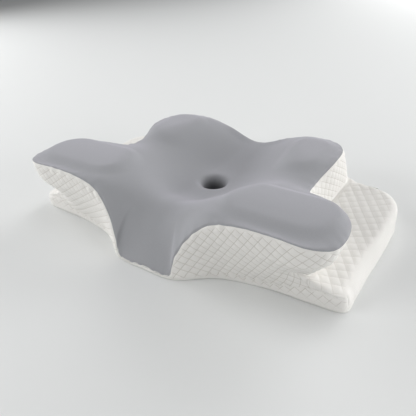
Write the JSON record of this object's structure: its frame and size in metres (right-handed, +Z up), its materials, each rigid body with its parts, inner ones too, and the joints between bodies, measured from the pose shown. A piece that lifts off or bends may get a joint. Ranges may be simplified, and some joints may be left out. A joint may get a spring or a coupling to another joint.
{
  "type": "contour neck pillow",
  "caption": "Butterfly-shaped contour neck pillow with a head bowl, neck roll, raised wings, low side armrests and a zipped cover.",
  "frame": {"origin": "middle of the pillow's box in plan, on the flat base it rests on", "axes": "+X to the right along the longest way, +Y from the neck roll to the back edge, +Z up"},
  "size_m": [0.6228, 0.3973, 0.128],
  "materials": {
    "foam": "open-cell moulded memory foam, cream",
    "top_jersey": "smooth matte stretch knit, cool grey",
    "quilted_knit": "warm white knit, quilted in diamonds with pale beige thread",
    "base_knit": "plain warm white knit",
    "seam_thread": "rolled seam in grey knit with overlock stitches",
    "zip_tape": "woven white tape",
    "zip_teeth": "white nylon coil",
    "zip_metal": "satin nickel-plated zinc",
    "label": "blank white satin ribbon"
  },
  "bodies": {
    "pillow": {"foam_core": "foam", "top_panel": "top_jersey", "wall_cover_left": "quilted_knit", "wall_cover_right": "quilted_knit", "armrest_cover_left": "quilted_knit", "armrest_cover_right": "quilted_knit", "back_cover": "quilted_knit", "base_panel": "base_knit", "seam_roll": "seam_thread", "zip_tape_lower": "zip_tape", "zip_tape_upper": "zip_tape", "zip_row_lower": "zip_teeth", "zip_row_upper": "zip_teeth", "zip_top_stop_lower": "zip_metal", "zip_top_stop_upper": "zip_metal", "zip_bottom_stop": "zip_metal", "care_label": "label"},
    "slider": {"slider_body": "zip_metal", "slider_back_plate": "zip_metal"},
    "pull": {"pull_tab": "zip_metal"}
  },
  "joints": [
    {"name": "zip_slide", "type": "slide", "parent": "pillow", "child": "slider", "axis": [-1, 0, 0], "range_m": [0, 0.288]},
    {"name": "pull_turn", "type": "hinge", "parent": "slider", "child": "pull", "pos_m": [0.144, 0.1962, 0.0165], "axis": [0, 0, -1], "range_deg": [0, 160]}
  ]
}
